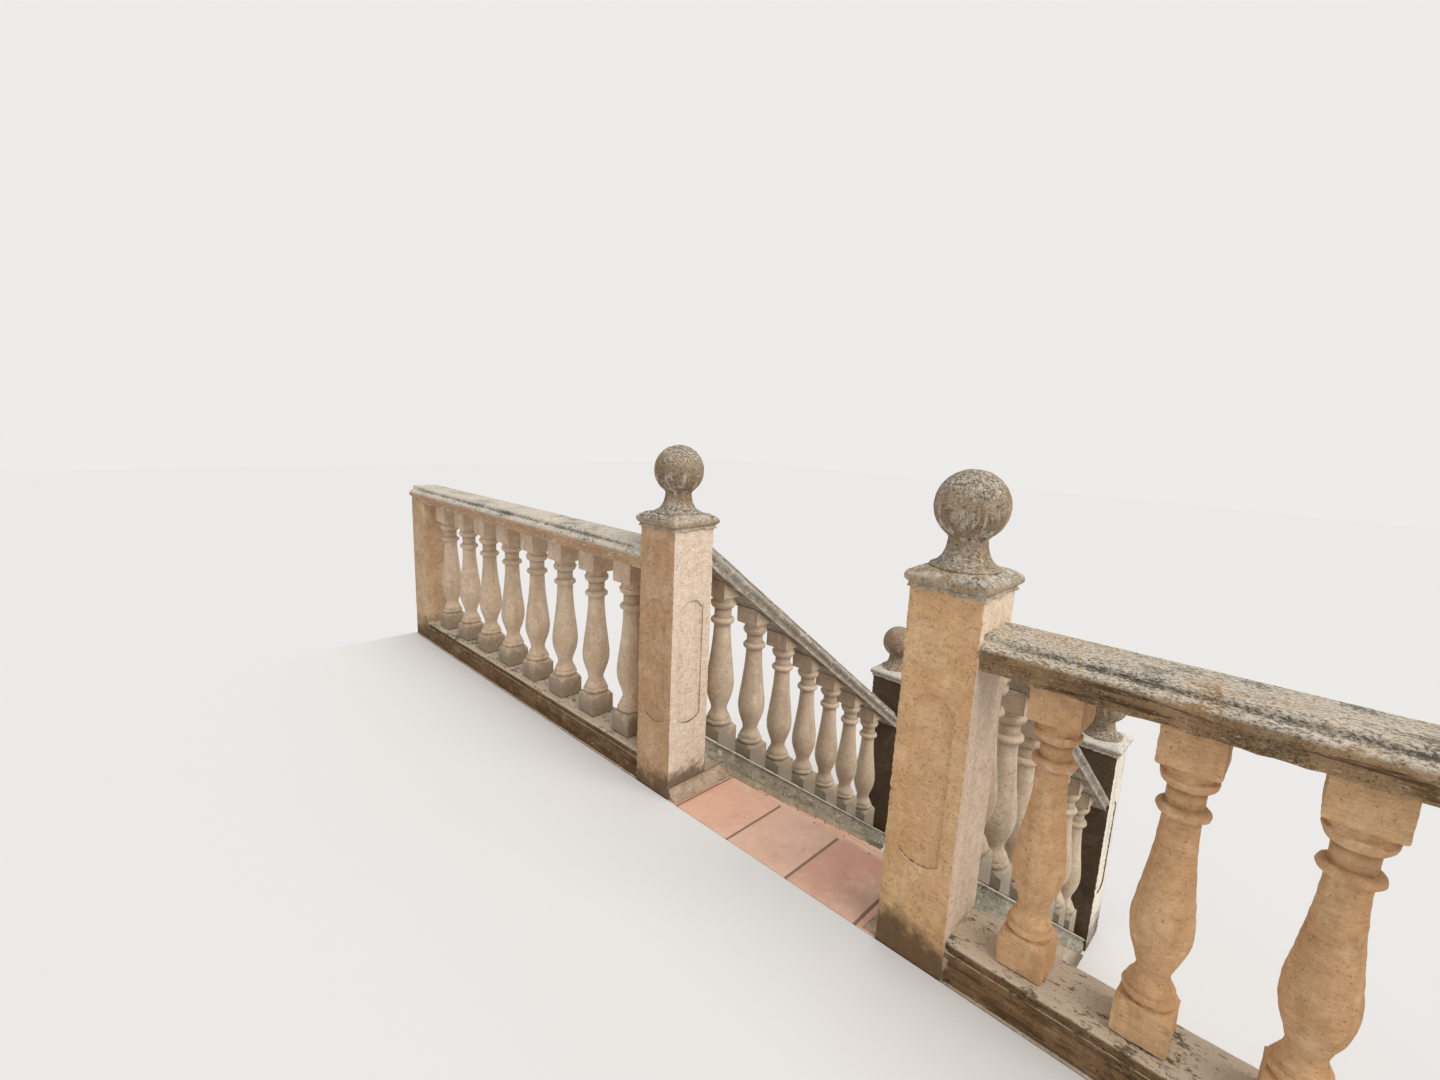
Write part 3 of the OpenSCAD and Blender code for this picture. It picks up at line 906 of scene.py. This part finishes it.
def balusterPattern(raked):
    shape = balusterShape
    half, tall, head = shape["footHalf"], shape["footHeight"], shape["headHalf"]
    spare, upCuts = 0, shape["upCuts"]
    if raked:
        spare, upCuts = shape["spare"], upCuts + shape["spareCuts"]
    outline = [(half, -spare), (half, tall - shape["footSlope"]), (half - shape["footIn"], tall)]
    foot = squareStack("foot", outline, (0, 0, 0))
    gridded(foot, shape["cuts"], shape["cuts"], upCuts)
    trimCorners(foot, shape["footSeat"] / 1000, tall / 1000, shape["seatFall"])
    stem = roundStack("stem", stemProfile(tall), (0, 0, 0), shape["sides"])
    start, fillet = tall + shape["stemHeight"], shape["headRound"]
    outline = arcPoints(head - fillet, fillet, fillet, -90, 0, 4) + [(head, shape["headHeight"] + spare)]
    top = squareStack("head", [(x, start + z) for x, z in outline], (0, 0, 0))
    gridded(top, shape["cuts"], shape["cuts"], upCuts)
    if raked:
        cutOff(foot, (0, 0, 0), (0, -slope, -1))
        cutOff(top, (0, 0, shape["railsApart"]), (0, slope, 1))
    rounded(foot, shape["arris"])
    rounded(top, shape["arris"])
    return joined([foot, stem, top], "balusterPattern")


def balusterRow(name, rail, raked):
    low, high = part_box(rail)
    middle = [(a + b) / 2 for a, b in zip(low, high)]
    axis, count = (1, balusterShape["rakedCount"]) if raked else (0, balusterShape["levelCount"])
    gap = balusterShape["endGap"]
    pitch = (high[axis] - low[axis] - 2 * gap) / (count - 1)
    pattern = balusterPattern(raked)
    made = []
    for i in range(count):
        along = gap + i * pitch
        foot = (low.x + along, middle[1], high.z)
        if raked:
            foot = (middle[0], low.y + along, high.z - slope * along)
        made.append(copied(pattern, foot))
    bpy.data.objects.remove(pattern)
    return joined(made, name)


print("balusters")
for side, shade, slotName, pits in (("left", "cream", "baluster_stone", 0.0),
                                    ("right", "ochre", "baluster_stone_ochre", balusterShape["ochrePits"])):
    row = balusterRow("balusterRow_" + side, "base_rail_" + side, False)
    dressed(row, balusterShape, shade, slotName, "balusters_" + side, pits=pits)
    row = balusterRow("rakedBalusterRow_" + side, "raked_base_rail_" + side, True)
    dressed(row, balusterShape, "grey", "baluster_stone", "raked_balusters_" + side)

print("handrails and base rails")
barShape = {
    "bite": 0.006,  # how far an end goes into its newel
    "endMargin": 0.006,
    "longEdge": 0.5, "wideEdge": 0.05,  # only longer edges than these are cut along and across a bar
    "spare": 0.25,  # more length on a raked bar, cut off at the newels
    "offGround": 0.001,
}

handrailShape = {
    "heightLevel": 98, "heightRaked": 95,  # the raked one measured upright
    "footHalf": 92, "footHeight": 7, "hollowStep": 5, "hollowHalf": 88, "hollowTop": 26,
    "round": 24, "roundMiddle": (76, 52.4),
    "tierHalf": 78, "tierStart": 78.4, "tierTop": 97.6, "tierRound": 10,
    "along": 0.012, "around": 7, "across": 12,
    "joints": {"left": -1.40, "right": 1.62}, "jointHalf": 0.003,
    "jointSink": (0.955, 0.91),  # width and height of the bar left at a joint
    "wave": 0.0025, "grain": 0.0014, "chips": 0.007,
}


def handrailProfile(thick):
    shape = handrailShape
    k = thick / shape["heightLevel"]
    tier, small = shape["tierHalf"], shape["tierRound"]
    points = [(shape["footHalf"], 0), (shape["footHalf"], shape["footHeight"]),
              (shape["hollowHalf"], shape["footHeight"] + shape["hollowStep"]),
              (shape["hollowHalf"], shape["hollowTop"])]
    points += arcPoints(*shape["roundMiddle"], shape["round"], -50, 75, 9) + [(tier, shape["tierStart"])]
    points += arcPoints(tier - small, shape["tierTop"] - small, small, 0, 90, 4)
    return [(half, z * k) for half, z in closeSpaced(points, shape["around"])]


baseRailShape = {
    "heightLevel": 118, "heightRaked": 94,
    "half": 90, "bed": 8, "grooveFrom": 85, "grooveHalf": 85, "grooveTo": 94,
    "lipHalf": 80, "lipMiddle": 106, "lip": 12,
    "along": 0.014, "around": 8, "across": 13,
    "wave": 0.003, "grain": 0.0016, "chips": 0.008,
}


def baseRailProfile(thick):
    shape = baseRailShape
    k = thick / shape["heightLevel"]
    points = [(shape["half"], -shape["bed"]), (shape["half"], shape["grooveFrom"]),
              (shape["grooveHalf"], shape["grooveFrom"]), (shape["grooveHalf"], shape["grooveTo"])]
    points += arcPoints(shape["lipHalf"], shape["lipMiddle"], shape["lip"], -60, 90, 5)
    return [(half, z * k) for half, z in closeSpaced(points, shape["around"])]


def levelBar(name, node, profile, shape, ends):
    low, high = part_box(node)
    start, stop = low.x - ends[0] * barShape["bite"], high.x + ends[1] * barShape["bite"]
    bar = squareStack(name, profile(shape["heightLevel"]),
                      ((start + stop) / 2, (low.y + high.y) / 2, low.z), stop - start)
    plainEnds(bar, barShape["endMargin"])
    cutAlong(bar, 0, round((stop - start) / shape["along"]), barShape["longEdge"])
    cutAlong(bar, 1, shape["across"], barShape["wideEdge"])
    return bar


def rakedBar(name, node, profile, shape):
    low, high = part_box(node)
    long = (high.y - low.y) / math.cos(rake) + barShape["spare"]
    bar = squareStack(name, profile(shape["heightRaked"] * math.cos(rake)), (0, 0, 0), long, "y")
    cutAlong(bar, 1, round(long / shape["along"]), barShape["longEdge"])
    cutAlong(bar, 0, shape["across"], barShape["wideEdge"])
    middle = (low.y + high.y) / 2
    under = high.z - shape["heightRaked"] / 1000  # its underside at the upper newel
    turned(bar, (-math.degrees(rake), 0, 0),
           ((low.x + high.x) / 2, middle, under - slope * (middle - low.y)))
    cutOff(bar, (0, high.y + barShape["bite"], 0), (0, 1, 0))
    cutOff(bar, (0, low.y - barShape["bite"], 0), (0, -1, 0))
    if low.z < nearGround:
        cutOff(bar, (0, 0, barShape["offGround"]), (0, 0, -1))
    return bar


def jointed(bar, x, centre):
    # a thin mortar joint round a bar, open by a few millimetres
    editing(bar)
    for step in (-1, 0, 1):
        bpy.ops.mesh.select_all(action="SELECT")
        bpy.ops.mesh.bisect(plane_co=(x + step * handrailShape["jointHalf"], 0, 0), plane_no=(1, 0, 0))
    objectMode()
    for vertex in bar.data.vertices:
        vertex.select = abs(vertex.co.x - x) < 0.0005
    bpy.ops.object.mode_set(mode="EDIT")
    bpy.ops.transform.resize(value=(1, *handrailShape["jointSink"]), center_override=(x, centre.y, centre.z))
    objectMode()


for side, ends in (("left", (0, 1)), ("right", (1, 0))):
    shape = handrailShape
    bar = levelBar("rail_" + side, "handrail_" + side, handrailProfile, shape, ends)
    low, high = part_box("handrail_" + side)
    jointed(bar, shape["joints"][side], (low + high) / 2)
    dressed(bar, shape, "rail" + side.title(), "handrail_stone", "handrail_" + side)
    bar = rakedBar("rakedRail_" + side, "raked_handrail_" + side, handrailProfile, shape)
    dressed(bar, shape, "rakedRail", "handrail_stone", "raked_handrail_" + side)
    shape = baseRailShape
    bar = levelBar("baseCourse_" + side, "base_rail_" + side, baseRailProfile, shape, (1, 1))
    dressed(bar, shape, "base", "base_rail_stone", "base_rail_" + side)
    bar = rakedBar("string_" + side, "raked_base_rail_" + side, baseRailProfile, shape)
    dressed(bar, shape, "string", "base_rail_stone", "raked_base_rail_" + side)

print("newels, caps and balls")
newelShape = {
    "panelHalf": 0.057, "panelDepth": 0.0075, "panelFoot": 0.295, "footSag": 0.021,
    "panelHead": 0.270, "headArch": 0.030, "ledge": 0.009,
    "faces": {"upper_left": (0, 90), "upper_right": (0, -90), "lower_left": (90, 180, -90),
              "lower_right": (90, 180, -90)},
    "shade": {"upper_left": "newelLeft", "upper_right": "newelRight", "lower_left": "newelLowLeft",
              "lower_right": "newelLowRight"},
    "arris": 0.003, "arrisAngle": 50, "across": 0.0087, "upward": 0.0068, "merge": 0.0012,
    "bite": 0.014,  # how far a shaft goes into its cap and its wall
    "wave": 0.0020, "grain": 0.0010, "chips": 0.0045, "chipSize": 0.016,
}


def flatArch(half, rise, crown, steps=12):
    radius = (half * half + rise * rise) / (2 * abs(rise))
    spread = math.degrees(math.asin(half / radius))
    turn = math.copysign(90, rise)
    return arcPoints(0, crown - math.copysign(radius, rise), radius, turn - spread, turn + spread, steps)


def newelShaft(corner):
    shape = newelShape
    low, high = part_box("newel_" + corner)
    middle, size = (low + high) / 2, high - low
    foot = shape["bite"] if low.z > nearGround else 0
    bpy.ops.mesh.primitive_cube_add(size=1, scale=(size.x, size.y, size.z + shape["bite"] + foot),
                                    location=(middle.x, middle.y, middle.z + (shape["bite"] - foot) / 2))
    shaft = settle(bpy.context.object, "shaft_" + corner)
    crown = size.z - shape["panelHead"]
    half, shoulder = shape["panelHalf"], crown - shape["headArch"]
    outline = flatArch(half, -shape["footSag"], shape["panelFoot"]) + [(half, shoulder)]
    outline += flatArch(half - shape["ledge"], shape["headArch"], crown) + [(-half, shoulder)]
    for angle in shape["faces"][corner]:
        panel = outlinePlate("panel", outline, 2 * shape["panelDepth"])
        turned(panel, (0, 0, 0), (0, -size.y / 2 - shape["panelDepth"], 0))
        turned(panel, (0, 0, angle), (middle.x, middle.y, low.z))
        modifier(shaft, "BOOLEAN", object=panel, operation="DIFFERENCE", solver="EXACT")
        bpy.data.objects.remove(panel)
    rounded(shaft, shape["arris"], shape["arrisAngle"])
    for axis, spacing in enumerate((shape["across"], shape["across"], shape["upward"])):
        sliced(shaft, axis, spacing)
    editing(shaft)
    tidyShell(shape["merge"])
    return shaft


capShape = {
    "bandHalf": 107, "bandHeight": 13, "bandFall": 5, "bandTop": 103,
    "rollMiddle": (96, 32), "roll": 20, "flatHalf": 87, "height": 60,
    "cuts": 27, "around": 7, "wave": 0.002, "grain": 0.0014, "chips": 0.005,
}

ballShape = {
    "radius": 0.096, "segments": 64, "rings": 40, "grid": 0.005,
    "neckFoot": 93, "footHalfHeight": 4, "neckHalf": 51, "neckHeight": 77.5,
    "neckBend": ((14, 12), (2, 36)),  # the curve's pull: out from the neck, and height
    "neckInBall": 40,
    "wave": 0.002, "grain": 0.0016,
}


def capProfile():
    shape = capShape
    points = [(shape["bandHalf"], 0), (shape["bandHalf"], shape["bandHeight"] - shape["bandFall"]),
              (shape["bandTop"], shape["bandHeight"])]
    points += arcPoints(*shape["rollMiddle"], shape["roll"], -68, 80, 10)
    return closeSpaced(points + [(shape["flatHalf"], shape["height"])], shape["around"])


def neckProfile():
    shape = ballShape
    neck, foot, rise = shape["neckHalf"], (shape["neckFoot"], shape["footHalfHeight"]), shape["neckHeight"]
    pull = [(neck + out, up) for out, up in shape["neckBend"]]
    points = [(foot[0], -foot[1]), foot] + curvePoints(foot, *pull, (neck, rise), 10)
    return points + [(neck, rise + shape["neckInBall"])]


for corner in ("upper_left", "upper_right", "lower_left", "lower_right"):
    shape = newelShape
    dressed(newelShaft(corner), shape, shape["shade"][corner], "newel_stone", "newel_" + corner)

    shape = capShape
    low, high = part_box("cap_" + corner)
    x, y = (low.x + high.x) / 2, (low.y + high.y) / 2
    cap = squareStack("capStone_" + corner, capProfile(), (x, y, low.z))
    gridded(cap, shape["cuts"], shape["cuts"])
    dressed(cap, shape, "capLow" if "lower" in corner else "cap", "cap_stone", "cap_" + corner)

    shape = ballShape
    low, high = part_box("ball_" + corner)
    collar = roundStack("collar", neckProfile(), (x, y, low.z), shape["segments"])
    bpy.ops.mesh.primitive_uv_sphere_add(segments=shape["segments"], ring_count=shape["rings"],
                                         radius=shape["radius"], location=(x, y, high.z - shape["radius"]))
    ball = joined([settle(bpy.context.object, "ballStone_" + corner), collar], "ballStone_" + corner)
    modifier(ball, "REMESH", mode="VOXEL", voxel_size=shape["grid"])
    dressed(ball, shape, "ball", "ball_stone", "ball_" + corner)

print("mortar at the feet of the upper newels")
mortarShape = {
    "wide": 0.050, "high": 0.046, "sunk": 0.004, "long": 0.312, "lip": 0.004, "inset": 0.002,
    "slump": ((0.5, 0.28), (0.22, 0.60)),  # points of its slope, as shares of width and height
    "grid": 0.005, "wave": 0.006, "grain": 0.004, "grainSize": 0.022,
}
for side, sign in (("left", 1), ("right", -1)):
    shape = mortarShape
    low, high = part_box("newel_upper_" + side)
    wide, tall, sunken = shape["wide"], shape["high"], shape["sunk"]
    outline = [(-sunken, -sunken), (wide, -sunken), (wide, shape["lip"])]
    outline += [(wide * out, tall * up) for out, up in shape["slump"]] + [(0, tall), (-sunken, tall)]
    fillet = outlinePlate("mortar_" + side, [(sign * across, up) for across, up in outline], shape["long"])
    turned(fillet, (0, 0, 0), (high.x if sign > 0 else low.x, low.y + shape["inset"], low.z))
    modifier(fillet, "REMESH", mode="VOXEL", voxel_size=shape["grid"])
    dressed(fillet, shape, "mortar", "newel_stone")

print("end piers")
pierShape = {"spacing": 0.012, "arris": 0.004, "bite": 0.004, "wave": 0.003, "grain": 0.0014, "chips": 0.009}
for side in ("left", "right"):
    low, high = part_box("end_pier_" + side)
    tall = Vector((0, 0, pierShape["bite"]))
    pier = block("pier_" + side, low - tall, high + tall, pierShape["spacing"], pierShape["arris"])
    dressed(pier, pierShape, "pier", "pier_stone", "end_pier_" + side)

print("walls and stair")
wallShape = {
    "spacing": 0.026, "arris": 0.006, "bite": 0.003,
    "wave": 0.004, "stairWave": 0.002, "grain": 0.0016, "grainSize": 0.05, "chips": 0.006,
}
for side in ("left", "right"):
    shape = wallShape
    low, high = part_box("terrace_wall_" + side)
    wall = block("gardenWall_" + side, low, high, shape["spacing"], shape["arris"])
    dressed(wall, shape, "wall", "wall_render", "terrace_wall_" + side)
    low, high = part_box("stair_wall_" + side)
    wall = block("stairSide_" + side, low, high, shape["spacing"], 0)
    for vertex in wall.data.vertices:  # the top follows the rake down to the ground
        vertex.co.z *= (high.z + shape["bite"] - slope * (vertex.co.y - low.y)) / high.z
    editing(wall)
    tidyShell()
    dressed(wall, shape, "wall", "wall_render", "stair_wall_" + side, wave=shape["stairWave"], chips=0.0)

tileShape = {
    "joints": (-0.410, -0.141, 0.127, 0.393),  # middles of the joints across the stair
    "joint": 0.009, "thick": 0.020, "arris": 0.0025, "spacing": 0.022,
    "bedIn": 0.004, "bedFront": 0.006, "bedUnder": 0.003, "bedSpacing": 0.05,
    "toneLow": 0.2, "toneSteps": (0.37, 0.61),  # from tile to tile, and from tread to tread
    "wave": 0.0014, "grain": 0.0004, "chips": 0.004, "chipSize": 0.02,
}


def tiledSlab(node, turn):
    shape = tileShape
    low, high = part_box(node)
    edges = (low.x,) + shape["joints"] + (high.x,)
    inset = Vector((shape["bedIn"], shape["bedIn"], 0))
    bedHigh = (high.x - inset.x, high.y - inset.y - shape["bedFront"], high.z - shape["bedUnder"])
    bed = block("bed", low + inset, bedHigh, shape["bedSpacing"], 0)
    tiles = []
    for k, (start, stop) in enumerate(zip(edges, edges[1:])):
        gap = shape["joint"] / 2
        tile = block("tile", (start + gap * (k > 0), low.y, high.z - shape["thick"]),
                     (stop - gap * (k < len(edges) - 2), high.y, high.z), shape["spacing"], shape["arris"])
        weathered(tile, shape)
        tone = tile.data.attributes.new("tone", "FLOAT", "POINT")
        share = (k * shape["toneSteps"][0] + turn * shape["toneSteps"][1]) % 1
        level = shape["toneLow"] + (1 - shape["toneLow"]) * share
        tone.data.foreach_set("value", np.full(len(tile.data.vertices), level, np.float32))
        tiles.append(tile)
    finished(bed)
    return joined(tiles + [bed], "tiles_" + node)


for turn, node in enumerate(("landing", "tread_1", "tread_2", "tread_3", "tread_4", "tread_5")):
    placed(tiledSlab(node, turn), stone["tile"], "tread_tile", node)
nodes["stair_core"].data.materials.clear()
nodes["stair_core"].data.materials.append(stone["wall"])
